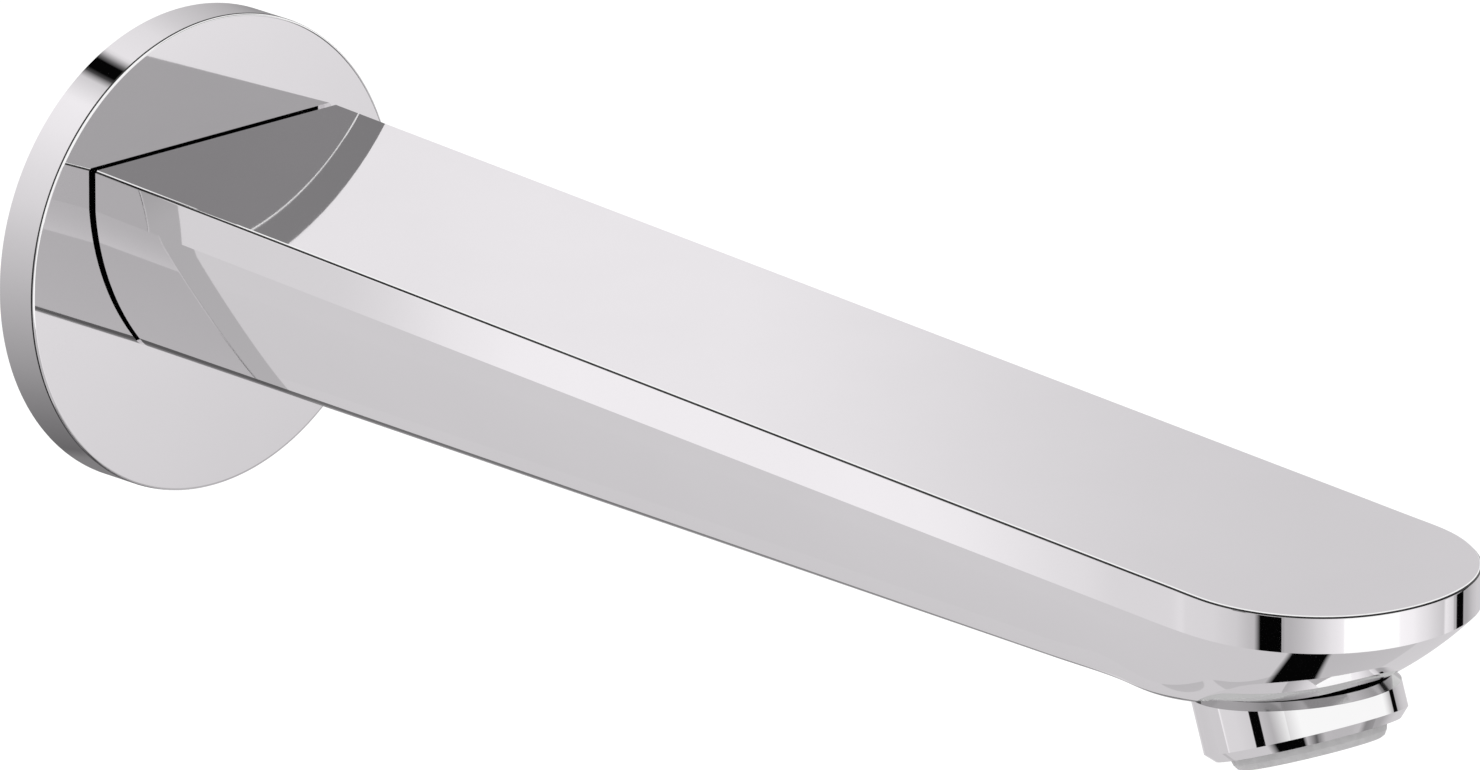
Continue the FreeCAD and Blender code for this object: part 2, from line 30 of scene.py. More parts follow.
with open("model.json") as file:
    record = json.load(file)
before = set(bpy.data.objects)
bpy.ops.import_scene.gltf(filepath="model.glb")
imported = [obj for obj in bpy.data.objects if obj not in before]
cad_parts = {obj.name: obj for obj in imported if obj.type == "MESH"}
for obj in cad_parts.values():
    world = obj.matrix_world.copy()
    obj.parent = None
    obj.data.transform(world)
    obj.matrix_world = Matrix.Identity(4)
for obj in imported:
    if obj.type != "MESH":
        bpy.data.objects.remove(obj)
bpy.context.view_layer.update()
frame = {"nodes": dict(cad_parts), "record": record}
MM = 0.001
X, Y, Z = np.eye(3)
ORIGIN = np.zeros(3)

# Sizes of the solids, in millimetres and degrees
ROSETTE = dict(radius=30.0, depth=6.0, face_wall=1.4, skirt_wall=1.8, edge=0.35,
               sleeve_wall=1.4, sleeve_length=4.6)
BODY = dict(half=20.1, top=14.9, top_slope=2.55, under=-9.8, under_slope=0.52, reach=219.1,
            front_radius=24.0, corner_radius=18.6, rim=4.6, edge=0.35, flat=11.5, corner=1.4,
            start=6.6)
NOSE = dict(begin=-190.0, stations=(51.1, 39.1, 30.1), fan=21.6, steps=6, side_drop=5.15,
            side_start=4.5, rim_drop=5.1, side_angle=18.0, tip_angle=47.0, side_corner=6.0,
            tip_corner=3.4)
BOSS = dict(back=20.5, drop=3.8, tilt=20.0, radius=12.5, lower=1.15, upper=0.9,
            shoulder_tilt=7.4, shoulder=5.35, bore=10.45, bore_depth=10.2, seat=8.9)
NECK = dict(radius=11.2, height=2.45, stop=1.0, groove=3.0, groove_width=1.8, groove_depth=1.15,
            bore=7.05, bore_depth=34.6, hole=11.35)
TOP_SLOPE = math.tan(math.radians(BODY["top_slope"]))
UNDER_SLOPE = math.tan(math.radians(BODY["under_slope"]))
TOP_NORMAL = np.array([0, -TOP_SLOPE, 1]) / math.hypot(TOP_SLOPE, 1)
UNDER_NORMAL = np.array([0, UNDER_SLOPE, -1]) / math.hypot(UNDER_SLOPE, 1)

# How far skins run on into each other, in millimetres, so that no gap shows between them
NECK_OVERLAP = 0.5
REAR_OVERLAP = 0.3
BOSS_OVERLAP = 0.5
SHOULDER_OVERLAP = 0.05
SHELF_OVERLAP = BOSS["radius"] - 2.0

# Fineness: steps round a circle, rows along the body and points across it
CIRCLE = 128
FINE_CIRCLE = 256
SIDE_ROWS = 54
NOSE_ROWS = 361
FLAT_POINTS = 25
WELD_DIGITS = 4

# Finishes of a skin, in the order of its materials: plain chrome; chrome painted dark, a painted
# dark reflection in fillets and chamfers; chrome painted darker, painted shade on the boss's
# shoulder and the nose's lower corner; chrome painted grey, a painted grey reflection on the
# boss's chamfer
PLAIN, PAINTED_DARK_REFLECTION, PAINTED_SHADE, PAINTED_GREY_REFLECTION = range(4)

# Strips across a section: first and last control point, and points along the strip
STRIPS = {"rim": (1, 2, 3), "arc": (2, 5, 25), "corner": (5, 7, 7)}
# Stretches of the strips: points from and up to, finish on the nose and finish behind it
# The darker finishes paint shade and a dark reflection line round the end of the arc and the
# lower corner
STRETCHES = (
    ("rim", 0, 3, PLAIN, PLAIN), ("arc", 0, 24, PLAIN, PLAIN), ("arc", 23, 25, PAINTED_SHADE, PAINTED_DARK_REFLECTION),
    ("corner", 0, 2, PAINTED_SHADE, PAINTED_DARK_REFLECTION), ("corner", 1, 4, PAINTED_DARK_REFLECTION, PAINTED_DARK_REFLECTION), ("corner", 3, 7, PLAIN, PLAIN),
)
# The chamfer of the top edge, as shares of its width, has a painted dark reflection line in its
# middle
EDGE_SHARES = np.array([0.0, 0.3, 0.82, 1.0])
EDGE_FINISHES = (PLAIN, PAINTED_DARK_REFLECTION, PLAIN)


def top_z(y):
    return BODY["top"] - (-y - ROSETTE["depth"]) * TOP_SLOPE


def under_z(y):
    return BODY["under"] - (-y - ROSETTE["depth"]) * UNDER_SLOPE


# Mesh building
class Skin:
    """Grids of points with their own normals. Each grid is welded where its points meet."""

    def __init__(self):
        self.points, self.normals, self.faces, self.finishes = [], [], [], []
        self.count = 0

    def grid(self, points, normals, wrap=False, keep=None, finish=PLAIN):
        """points and normals are (rows, columns, 3). Faces turn to the side of their normals.
        keep says from a face's corners which faces stay."""
        points, normals = np.asarray(points, float), np.asarray(normals, float)
        if wrap:
            points = np.concatenate([points, points[:1]])
            normals = np.concatenate([normals, normals[:1]])
        rows, columns = points.shape[:2]
        index = np.arange(rows * columns).reshape(rows, columns) + self.count
        quads = np.stack([index[:-1, :-1], index[1:, :-1], index[1:, 1:], index[:-1, 1:]], -1)
        quads = quads.reshape(-1, 4)
        corners = points.reshape(-1, 3)[quads - self.count]
        side = normals.reshape(-1, 3)[quads - self.count].sum(1)
        turn = np.cross(corners[:, 2] - corners[:, 0], corners[:, 3] - corners[:, 1])
        wrong = np.sum(turn * side, axis=1) < 0
        quads[wrong] = quads[wrong][:, ::-1]
        if keep is not None:
            quads = quads[keep(corners)]
        self.points.append(points.reshape(-1, 3))
        self.normals.append(normals.reshape(-1, 3))
        self.faces.append(quads)
        self.finishes.append(np.full(len(quads), finish))
        self.count += rows * columns

    def band(self, first, last, normals, finish=PLAIN):
        """Closed band between two loops of points, with one normal for all or one per point."""
        points = np.stack([first, last], 1)
        normals = np.broadcast_to(np.reshape(normals, (-1, 1, 3)), points.shape)
        self.grid(points, normals, wrap=True, finish=finish)

    def lathe(self, profile, centre, axis, steps=CIRCLE, smooth=False, finish=PLAIN):
        """Turn a chain of (radius, depth) points. Each leg is flat-shaded along the profile
        unless smooth says that its normals run on."""
        around = circle(X, np.cross(axis, X), steps)
        profile = np.asarray(profile, float)
        legs = unit(np.diff(profile, axis=0))
        across = np.stack([legs[:, 1], -legs[:, 0]], -1)
        for k in range(len(legs)):
            start = end = across[k]
            if smooth and k > 0:
                start = unit(across[k] + across[k - 1])
            if smooth and k < len(legs) - 1:
                end = unit(across[k] + across[k + 1])
            points = [centre + around * r + axis * w for r, w in profile[k:k + 2]]
            normals = [around * r + axis * w for r, w in (start, end)]
            self.grid(np.stack(points, 1), np.stack(normals, 1), wrap=True, finish=finish)

    def make(self, name):
        points, normals, quads, finishes = (
            np.concatenate(parts)
            for parts in (self.points, self.normals, self.faces, self.finishes))
        grids = np.repeat(np.arange(len(self.points)), [len(part) for part in self.points])
        keys = np.column_stack([np.round(points, WELD_DIGITS), grids])
        _, first, same = np.unique(keys, axis=0, return_index=True, return_inverse=True)
        same = same.reshape(-1)
        faces, face_finishes, corner_normals = [], [], []
        for quad, finish in zip(quads, finishes):
            welded = {}
            for corner in quad:
                welded.setdefault(int(same[corner]), corner)
            if len(welded) > 2:
                faces.append(list(welded))
                face_finishes.append(int(finish))
                corner_normals.extend(normals[list(welded.values())])
        mesh = bpy.data.meshes.new(name)
        mesh.from_pydata((points[first] * MM).tolist(), [], faces)
        mesh.polygons.foreach_set("use_smooth", [True] * len(mesh.polygons))
        mesh.polygons.foreach_set("material_index", face_finishes)
        mesh.normals_split_custom_set([tuple(n) for n in corner_normals])
        mesh.update()
        return add_object(name, mesh)


def add_object(name, data):
    obj = bpy.data.objects.new(name, data)
    bpy.context.scene.collection.objects.link(obj)
    return obj


def unit(v):
    v = np.asarray(v, float)
    return v / np.maximum(np.linalg.norm(v, axis=-1, keepdims=True), 1e-12)


def circle(first, second, steps=CIRCLE, closed=False):
    """Unit vectors all the way round, from first towards second."""
    angles = np.linspace(0, 2 * np.pi, steps, endpoint=closed)[:, None]
    return np.cos(angles) * first + np.sin(angles) * second


def grid_normals(points, outward):
    """Normals of a smooth grid by central differences, turned to the side of outward."""
    du = np.gradient(points, axis=0)
    dv = np.gradient(points, axis=1)
    n = unit(np.cross(du, dv))
    sign = np.sign(np.sum(n * outward, axis=-1, keepdims=True))
    return n * np.where(sign == 0, 1, sign)


def bezier(control, shares):
    """Points at the given shares along each row's curve, of as many control points as it has."""
    degree = control.shape[1] - 1
    weights = np.array([math.comb(degree, k) * shares ** k * (1 - shares) ** (degree - k)
                        for k in range(degree + 1)])
    return np.einsum("kt,rkc->rtc", weights, control)


def spline_rows(knots, rows, first, last, lengths):
    """Cubic spline through rows of points. first and last are its slopes at the two ends."""
    n = len(knots)
    h = np.diff(knots)
    flat = rows.reshape(n, -1)
    matrix, right = np.zeros((n, n)), np.zeros_like(flat)
    matrix[0, 0] = matrix[-1, -1] = 1
    right[0], right[-1] = first.reshape(-1), last.reshape(-1)
    for i in range(1, n - 1):
        matrix[i, i - 1], matrix[i, i + 1] = 1 / h[i - 1], 1 / h[i]
        matrix[i, i] = 2 * (1 / h[i - 1] + 1 / h[i])
        right[i] = 3 * ((flat[i] - flat[i - 1]) / h[i - 1] ** 2
                        + (flat[i + 1] - flat[i]) / h[i] ** 2)
    slope = np.linalg.solve(matrix, right)
    k = np.clip(np.searchsorted(knots, lengths, side="right") - 1, 0, n - 2)
    t = ((lengths - knots[k]) / h[k])[:, None]
    step = h[k][:, None]
    value = ((2 * t ** 3 - 3 * t ** 2 + 1) * flat[k] + (t ** 3 - 2 * t ** 2 + t) * step * slope[k]
             + (-2 * t ** 3 + 3 * t ** 2) * flat[k + 1] + (t ** 3 - t ** 2) * step * slope[k + 1])
    return value.reshape(len(lengths), *rows.shape[1:])


# Body of the spout
def under_section(outer, inward, rim_drop, start_angle, corner_inset):
    """Control points of one upright section: chamfered top edge, rim, arc and lower corner."""
    def at(inset, z):
        return np.array([outer[0] + inward[0] * inset, outer[1] + inward[1] * inset, z])

    def on_plane(inset, height):
        return at(inset, height(outer[1] + inward[1] * inset))

    edge = on_plane(0.0, top_z)
    z_start = edge[2] - rim_drop
    corner = on_plane(corner_inset, under_z)
    chord = math.hypot(corner_inset, z_start - corner[2])
    chord_angle = math.atan2(corner_inset, z_start - corner[2])
    first = math.radians(start_angle)
    radius = chord / (2 * math.sin(chord_angle - first))
    last = 2 * chord_angle - first - BODY["corner"] / radius
    reach = radius * 4 / 3 * math.tan((last - first) / 4)

    def on_arc(angle, along=0.0):
        inset = radius * (math.cos(first) - math.cos(angle)) + along * math.sin(angle)
        drop = radius * (math.sin(angle) - math.sin(first)) + along * math.cos(angle)
        return at(inset, z_start - drop)

    return np.array([
        on_plane(BODY["edge"], top_z), at(0.0, edge[2] - BODY["edge"]), on_arc(first),
        on_arc(first, reach), on_arc(last, -reach), on_arc(last), corner,
        on_plane(corner_inset + BODY["corner"], under_z),
    ])


def outline_from(centre, angle):
    """Where a ray from centre meets the nose's outline on the -X side, and the way back. The
    outline is a straight side, a corner arc and a front arc."""
    reach, half = BODY["reach"], BODY["half"]
    front_r, corner_r = BODY["front_radius"], BODY["corner_radius"]
    front = np.array([0.0, -reach + front_r])
    corner_x = half - corner_r
    step = math.sqrt((front_r - corner_r) ** 2 - corner_x ** 2)
    corner = np.array([-corner_x, front[1] - step])
    joint = math.atan2(step, corner_x)
    a = math.radians(angle)
    ray = np.array([-math.cos(a), -math.sin(a)])

    def far(arc, radius):
        off = centre - arc
        along = off @ ray
        return -along + math.sqrt(along ** 2 - off @ off + radius ** 2)

    if centre[1] + ray[1] * half > corner[1]:
        return centre + ray * (half / -ray[0]), -ray
    point = centre + ray * far(corner, corner_r)
    toward = point - corner
    if math.atan2(-toward[1], -toward[0]) > joint:
        point = centre + ray * far(front, front_r)
    return point, -ray


def side_section(distance):
    return under_section(np.array([-BODY["half"], -distance]), np.array([1.0, 0.0]),
                         NOSE["side_drop"], NOSE["side_start"], BODY["half"] - BODY["flat"])


def nose_section(angle):
    centre = np.array([0.0, NOSE["fan"] - BODY["reach"]])
    outer, inward = outline_from(centre, angle)
    share = math.sin(math.radians(angle))
    ease = 1 - (1 - share) ** 2
    rim_drop = NOSE["rim_drop"] + (BODY["rim"] - NOSE["rim_drop"]) * ease
    start_angle = NOSE["side_angle"] + (NOSE["tip_angle"] - NOSE["side_angle"]) * share
    corner_radius = NOSE["side_corner"] + (NOSE["tip_corner"] - NOSE["side_corner"]) * ease
    inset = np.linalg.norm(outer - centre) - corner_radius
    return under_section(outer, inward, rim_drop, start_angle, inset)


def body_rows():
    """Control rows of the whole skin, from the rear of the -X side round to the +X side."""
    rear = side_section(BODY["start"])
    half = [side_section(BODY["reach"] - station) for station in NOSE["stations"]]
    half += [nose_section(90.0 * k / NOSE["steps"]) for k in range(NOSE["steps"] + 1)]
    mirror = np.array([-1.0, 1, 1])
    sections = np.array(half + [section * mirror for section in half[-2::-1]])
    knots = np.r_[0, np.cumsum(np.linalg.norm(np.diff(sections[:, 1], axis=0), axis=1))]
    run = BODY["reach"] - NOSE["stations"][0] - BODY["start"]
    slope = (half[0] - rear) / run
    lengths = np.linspace(0, knots[-1], NOSE_ROWS)
    nose = spline_rows(knots, sections, slope, -slope * mirror, lengths)
    share = np.linspace(0, 1, SIDE_ROWS, endpoint=False)[:, None, None]
    side = rear + (half[0] - rear) * share
    return np.concatenate([side, nose, side[::-1] * mirror])


def strip_points(rows, name):
    first, last, count = STRIPS[name]
    return bezier(rows[:, first:last + 1], np.linspace(0, 1, count))


def outward_of(rim):
    """Rough direction out of the body and a little down, at each point of its rim."""
    away = rim * X - 0.001 * Z
    away[:, 1] = np.minimum(rim[:, 1] - NOSE["begin"], 0)
    return away[:, None]


def outlet_frame():
    """Centre of the boss's lower end and its axis, which points out of the outlet."""
    tilt = math.radians(BOSS["tilt"])
    axis = np.array([0, -math.sin(tilt), -math.cos(tilt)])
    y = BOSS["back"] - BODY["reach"]
    return np.array([0, y, under_z(y) - BOSS["drop"]]), axis


def shoulder_plane():
    """Point on the boss's flat shoulder and the shoulder's upward normal."""
    centre, axis = outlet_frame()
    tilt = math.radians(BOSS["shoulder_tilt"])
    return (centre - axis * (BOSS["shoulder"] + BOSS["upper"]),
            np.array([0, math.sin(tilt), math.cos(tilt)]))


def outside_boss(corners):
    """Which faces don't lie inside the boss, below its shoulder."""
    centre, axis = outlet_frame()
    top, plane = shoulder_plane()
    off = corners - centre
    away = np.linalg.norm(off - (off @ axis)[..., None] * axis, axis=-1)
    inside = (away < BOSS["radius"] - BOSS_OVERLAP).all(1)
    below = ((corners - top) @ plane < -SHOULDER_OVERLAP).all(1)
    return ~(inside & below)


def in_front(corners):
    return (corners[..., 1] < NOSE["begin"]).all(1)


def on_nose(corners):
    return outside_boss(corners) & in_front(corners)


def behind_nose(corners):
    return outside_boss(corners) & ~in_front(corners)


def make_body():
    skin = Skin()
    rows = body_rows()
    outward = outward_of(rows[:, 1])
    points = {name: strip_points(rows, name) for name in STRIPS}
    normals = {name: grid_normals(points[name], outward) for name in STRIPS}
    add_edge(skin, rows, normals["rim"][:, 0])
    for name, first, last, nose, side in STRETCHES:
        for keep, finish in ((on_nose, nose), (behind_nose, side)):
            skin.grid(points[name][:, first:last], normals[name][:, first:last],
                      keep=keep, finish=finish)
    add_flat(skin, rows[:, 0], TOP_NORMAL)
    add_flat(skin, rows[:, -1], UNDER_NORMAL)
    add_rear(skin, rows[:1])
    add_neck(skin)
    add_boss(skin)
    return skin.make("spout_body_visual")


def add_edge(skin, rows, side):
    """Chamfer round the top face. Its normals turn from the face's to the rim's."""
    points = bezier(rows[:, 0:2], EDGE_SHARES)
    normals = np.stack([unit(TOP_NORMAL * (1 - share) + side * share)
                        for share in EDGE_SHARES], 1)
    # The middle share is chrome painted dark: a painted dark reflection line along the edge
    for k, finish in enumerate(EDGE_FINISHES):
        skin.grid(points[:, k:k + 2], normals[:, k:k + 2], finish=finish)


def add_flat(skin, border, normal):
    """Flat face inside a border that runs down one side of the body and back up the other."""
    half = len(border) // 2 + 1
    left, right = border[:half, None], border[::-1][:half, None]
    share = np.linspace(0, 1, FLAT_POINTS)[:, None]
    flat = left * (1 - share) + right * share
    skin.grid(flat, np.broadcast_to(normal, flat.shape), keep=outside_boss)


def add_rear(skin, row):
    """Rear face of the body, from the section's edge in to the neck."""
    edge = np.concatenate([row[0, :3], strip_points(row, "arc")[0, 1:],
                           strip_points(row, "corner")[0, 1:]])
    loop = np.concatenate([edge, (edge * [-1, 1, 1])[::-1]])
    centre = NECK["height"] * Z - BODY["start"] * Y
    skin.band(loop, centre + unit(loop - centre) * (NECK["radius"] - REAR_OVERLAP), Y)


def add_neck(skin):
    """Neck with its groove, the flat stop at its end and the bore for the nipple."""
    r, half_groove, bore = NECK["radius"], NECK["groove_width"] / 2, NECK["bore"]
    low = r - NECK["groove_depth"]
    front, back = -NECK["groove"] - half_groove, -NECK["groove"] + half_groove
    centre, stop = NECK["height"] * Z, -NECK["stop"]
    skin.lathe([(r, -BODY["start"] - NECK_OVERLAP), (r, front), (low, front), (low, back),
                (r, back), (r, stop)], centre, Y)
    around = circle(X, Z)
    skin.band(centre + stop * Y + around * r, stop * Y + around * bore, Y)
    deep = -NECK["bore_depth"]
    skin.lathe([(bore, stop), (bore, deep), (0, deep)], ORIGIN, Y)


def add_boss(skin):
    """Outlet boss: shoulder disc, upper chamfer, wall, lower chamfer and the aerator's bore."""
    centre, axis = outlet_frame()
    top, plane = shoulder_plane()
    r, chamfer, low, bore = BOSS["radius"], BOSS["upper"], BOSS["lower"], BOSS["bore"]
    around = circle(X, np.cross(axis, X), FINE_CIRCLE)
    lower = centre + around * r
    edge = lower - axis * (((lower - top) @ plane) / (axis @ plane))[:, None]
    wall = edge + axis * chamfer
    inward = unit(top - edge)
    shelf = edge + inward * chamfer
    slope = unit(np.cross(np.roll(wall, -1, 0) - wall, shelf - wall))
    slope *= np.sign(np.sum(slope * (around - axis), 1, keepdims=True))
    skin.band(wall, lower, around)
    # Upper chamfer in chrome painted grey: a painted grey reflection
    skin.band(shelf, wall, slope, finish=PAINTED_GREY_REFLECTION)
    # Shoulder disc in chrome painted darker: painted shade where the bowl meets the boss
    skin.band(shelf + inward * SHELF_OVERLAP, shelf, plane, finish=PAINTED_SHADE)
    deep = low - BOSS["bore_depth"]
    skin.lathe([(r, 0), (r - low, low), (bore, low), (bore, deep), (BOSS["seat"], deep)],
               centre, axis, FINE_CIRCLE)


# Rosette against the wall
def rounded(corner, before, after, radius, points=6):
    """Points of a small arc that takes the place of a corner between two legs."""
    corner, before, after = (np.asarray(v, float) for v in (corner, before, after))
    start, end = corner + unit(before - corner) * radius, corner + unit(after - corner) * radius
    return bezier(np.array([[start, corner, end]]), np.linspace(0, 1, points))[0]


def make_rosette():
    """Shallow cup: face, rounded edge, skirt and hollow back, with the hole set above centre."""
    skin = Skin()
    r, depth, edge = ROSETTE["radius"], ROSETTE["depth"], ROSETTE["edge"]
    inner = r - ROSETTE["skirt_wall"]
    back = ROSETTE["face_wall"] - depth
    end = ROSETTE["sleeve_length"] - depth
    around = circle(X, Z, FINE_CIRCLE)
    hole = NECK["height"] * Z + around * NECK["hole"]
    sleeve = hole + around * ROSETTE["sleeve_wall"]
    skin.band(hole - depth * Y, around * (r - edge) - depth * Y, -Y)
    skin.band(sleeve + back * Y, around * inner + back * Y, Y)
    arc = rounded((r, -depth), (0, -depth), (r, 0), edge)
    middle = len(arc) // 2
    skin.lathe(arc[:middle + 1], ORIGIN, Y, FINE_CIRCLE, smooth=True)
    # Outer half of the rounded edge in chrome painted dark: a painted dark reflection line
    skin.lathe(arc[middle:], ORIGIN, Y, FINE_CIRCLE, smooth=True, finish=PAINTED_DARK_REFLECTION)
    skin.lathe([(r, edge - depth), (r, 0), (inner, 0), (inner, back)], ORIGIN, Y, FINE_CIRCLE)
    skin.band(hole - depth * Y, hole + end * Y, -around)
    skin.band(sleeve + back * Y, sleeve + end * Y, around)
    skin.band(hole + end * Y, sleeve + end * Y, Y)
    return skin.make("rosette_visual")


# Nodes that several materials share
def new_material(name):
    mat = bpy.data.materials.new(name)
    mat.use_nodes = True
    return mat, mat.node_tree, mat.node_tree.nodes["Principled BSDF"]


def object_place(tree):
    return tree.nodes.new("ShaderNodeTexCoord").outputs["Object"]


def noise(tree, scale):
    """Fine noise in the object's own space, scale grains to the metre."""
    tex = tree.nodes.new("ShaderNodeTexNoise")
    tex.inputs["Scale"].default_value = scale
    tex.inputs["Detail"].default_value = 3.0
    tree.links.new(object_place(tree), tex.inputs["Vector"])
    return tex.outputs["Fac"]


def ramp(tree, value, stops):
    node = tree.nodes.new("ShaderNodeValToRGB")
    elements = node.color_ramp.elements
    while len(elements) < len(stops):
        elements.new(0.5)
    for element, (place, colour) in zip(elements, stops):
        element.position = place
        element.color = (*colour, 1.0)
    tree.links.new(value, node.inputs["Fac"])
    return node.outputs["Color"]


def spread(tree, value, low, high):
    node = tree.nodes.new("ShaderNodeMapRange")
    node.inputs["To Min"].default_value = low
    node.inputs["To Max"].default_value = high
    tree.links.new(value, node.inputs["Value"])
    return node.outputs["Result"]


def multiply(tree, first, second):
    """Product of an output with a second output or with a number."""
    node = tree.nodes.new("ShaderNodeMath")
    node.operation = "MULTIPLY"
    tree.links.new(first, node.inputs[0])
    if isinstance(second, float):
        node.inputs[1].default_value = second
    else:
        tree.links.new(second, node.inputs[1])
    return node.outputs[0]


def grey(level):
    return (level,) * 3


# Materials of the pieces
GRAIN = 900.0
CHROME_GRAIN = 60.0
FLOOR_GRAIN = 40.0
NOISE_SHARES = (0.3, 0.7)
ROUGH_SPREAD = 0.15


def noise_stops(dark, light):
    return list(zip(NOISE_SHARES, (dark, light)))


def surface(name, dark, light, rough, metallic=0.0, grain=GRAIN):
    """Material whose colour wanders between dark and light, and its roughness a little too."""
    mat, tree, bsdf = new_material(name)
    bsdf.inputs["Metallic"].default_value = metallic
    tree.links.new(ramp(tree, noise(tree, grain), noise_stops(dark, light)),
                   bsdf.inputs["Base Color"])
    tree.links.new(spread(tree, noise(tree, grain * 2), rough * (1 - ROUGH_SPREAD),
                          rough * (1 + ROUGH_SPREAD)), bsdf.inputs["Roughness"])
    return mat


def chrome(name):
    return surface(name, (0.925, 0.921, 0.925), (0.94, 0.936, 0.94), 0.03, 1.0, CHROME_GRAIN)


def painted_shade_chrome(name, dark, light, rough):
    return surface(name, grey(dark), grey(light), rough, 1.0, CHROME_GRAIN)


SLOTS = {
    "chrome_plated_body": chrome("body chrome"),
    "chrome_plated_rosette": chrome("rosette chrome"),
    "black_rubber": surface("black rubber", grey(0.015), grey(0.03), 0.6),
    "wall_foam": surface("foam", grey(0.03), grey(0.07), 0.85),
    "plain_brass": surface("brass", (0.66, 0.48, 0.22), (0.78, 0.60, 0.32), 0.25, 1.0),
    "stainless_steel": surface("stainless", grey(0.45), grey(0.60), 0.3, 1.0),
    "stainless_screen": surface("screen", grey(0.45), grey(0.62), 0.35, 1.0),
    "light_grey_plastic": surface("grey plastic", (0.40, 0.395, 0.40), (0.46, 0.455, 0.46), 0.42),
    "white_plastic": surface("white plastic", (0.70, 0.70, 0.69), (0.78, 0.78, 0.77), 0.4),
}
# Chromes painted dark, darker and grey: a painted dark reflection, painted shade and a painted
# grey reflection
PAINTED_SHADES = {
    PAINTED_DARK_REFLECTION: painted_shade_chrome("chrome painted dark reflection", 0.03, 0.05, 0.12),
    PAINTED_SHADE: painted_shade_chrome("chrome painted shade", 0.16, 0.22, 0.12),
    PAINTED_GREY_REFLECTION: painted_shade_chrome("chrome painted grey reflection", 0.48, 0.54, 0.10),
}
for part in frame["record"]["subparts"]:
    mesh = frame["nodes"][part["node"]].data
    mesh.materials.clear()
    mesh.materials.append(SLOTS[part["material_slot"]])


def dress(obj, slot, node, *painted_finishes):
    """The piece takes a node's place and the slot's finish, with its chromes of painted
    reflection and shade after it.
    """
    for material in (SLOTS[slot], *(PAINTED_SHADES[shade] for shade in painted_finishes)):
        obj.data.materials.append(material)
    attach(obj, "root")
    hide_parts(node)


dress(make_body(), "chrome_plated_body", "spout_body", PAINTED_DARK_REFLECTION, PAINTED_SHADE, PAINTED_GREY_REFLECTION)
dress(make_rosette(), "chrome_plated_rosette", "rosette", PAINTED_DARK_REFLECTION)


# Camera at the photograph's angle
PHOTO_WIDTH, PHOTO_HEIGHT = 1480.0, 770.0
ORIGIN_PIXEL = (181.332, 241.529)
SENSOR_WIDTH = 36.0


def set_axes(obj, right, up, back, place):
    """Stands an object at a place in metres, with its own axes along the three vectors."""
    rows = np.column_stack([right, up, back, place])
    obj.matrix_world = Matrix([tuple(row) for row in rows] + [(0, 0, 0, 1)])


def photo_camera(azimuth, elevation, scale, share):
    """Camera from a fit of the rosette's circles and the body's edges to the photograph.

    scale is how many of its pixels the rosette's radius takes at the origin, and share is that
    radius over the distance of the origin along the view.
    """
    a, e = math.radians(azimuth), math.radians(elevation)
    right = np.array([math.cos(a), -math.sin(a), 0.0])
    back = np.array([-math.sin(a) * math.cos(e), -math.cos(a) * math.cos(e), math.sin(e)])
    up = np.cross(back, right)
    aside = (ORIGIN_PIXEL[0] - PHOTO_WIDTH / 2) / scale
    above = (PHOTO_HEIGHT / 2 - ORIGIN_PIXEL[1]) / scale
    place = (back / share - right * aside - up * above) * ROSETTE["radius"] * MM
    camera = bpy.data.cameras.new("camera")
    camera.sensor_fit = "HORIZONTAL"
    camera.sensor_width = SENSOR_WIDTH
    camera.lens = SENSOR_WIDTH * (scale / share) / PHOTO_WIDTH
    camera.clip_start = 0.05
    camera.clip_end = 60.0
    obj = add_object("camera", camera)
    set_axes(obj, right, up, back, place)
    bpy.context.scene.camera = obj


# Studio: white surround, pale floor and cards that are seen only in the chrome
CHROME_REFLECTANCE = 0.93
GREEN_SHARE = 0.973
RING_STEPS = 96


def set_world(strength):
    world = bpy.data.worlds.new("world")
    bpy.context.scene.world = world
    world.use_nodes = True
    background = world.node_tree.nodes["Background"]
    background.inputs["Color"].default_value = (1, 1, 1, 1)
    background.inputs["Strength"].default_value = strength


def add_floor(height, size, glow):
    """Pale floor, size metres to each side. A little light of its own keeps it near white."""
    mesh = bpy.data.meshes.new("floor")
    mesh.from_pydata([(-size, -size, height), (size, -size, height), (size, size, height),
                      (-size, size, height)], [], [(0, 1, 2, 3)])
    mat, tree, bsdf = new_material("pale floor")
    tree.links.new(ramp(tree, noise(tree, FLOOR_GRAIN), noise_stops(grey(0.93), grey(0.95))),
                   bsdf.inputs["Base Color"])
    bsdf.inputs["Roughness"].default_value = 0.8
    bsdf.inputs["Emission Color"].default_value = (1, 1, 1, 1)
    bsdf.inputs["Emission Strength"].default_value = glow
    mesh.materials.append(mat)
    add_object("floor", mesh)


def add_light(name, place, target, size, power):
    data = bpy.data.lights.new(name, "AREA")
    data.size = size
    data.energy = power
    obj = add_object(name, data)
    obj.visible_glossy = False
    back = unit(np.subtract(place, target))
    right = unit(np.cross(Z, back))
    set_axes(obj, right, np.cross(back, right), back, place)


def emission(tone):
    """Light that a card needs so that the chrome shows the 8-bit tone. It has a little less
    green, as the photograph's greys do."""
    c = tone / 255.0
    linear = c / 12.92 if c <= 0.04045 else ((c + 0.055) / 1.055) ** 2.4
    light = linear / CHROME_REFLECTANCE
    return light, light * GREEN_SHARE, light


def even(tone):
    return [(0.0, tone), (1.0, tone)]


def places(low, high, *pairs):
    """Stops from (metres, tone) pairs on an edge that runs from low to high."""
    return [((place - low) / (high - low), tone) for place, tone in pairs]


def tone_stops(tones):
    return [(place, emission(tone)) for place, tone in tones]


def fade_stops(start, end):
    """Stops of a fade from nothing to all over the share start, and back over the share end."""
    stops = [(0.0, grey(0.0)), (start, grey(1.0))] if start else [(0.0, grey(1.0))]
    stops += [(1.0 - end, grey(1.0)), (1.0, grey(0.0))] if end else [(1.0, grey(1.0))]
    return stops


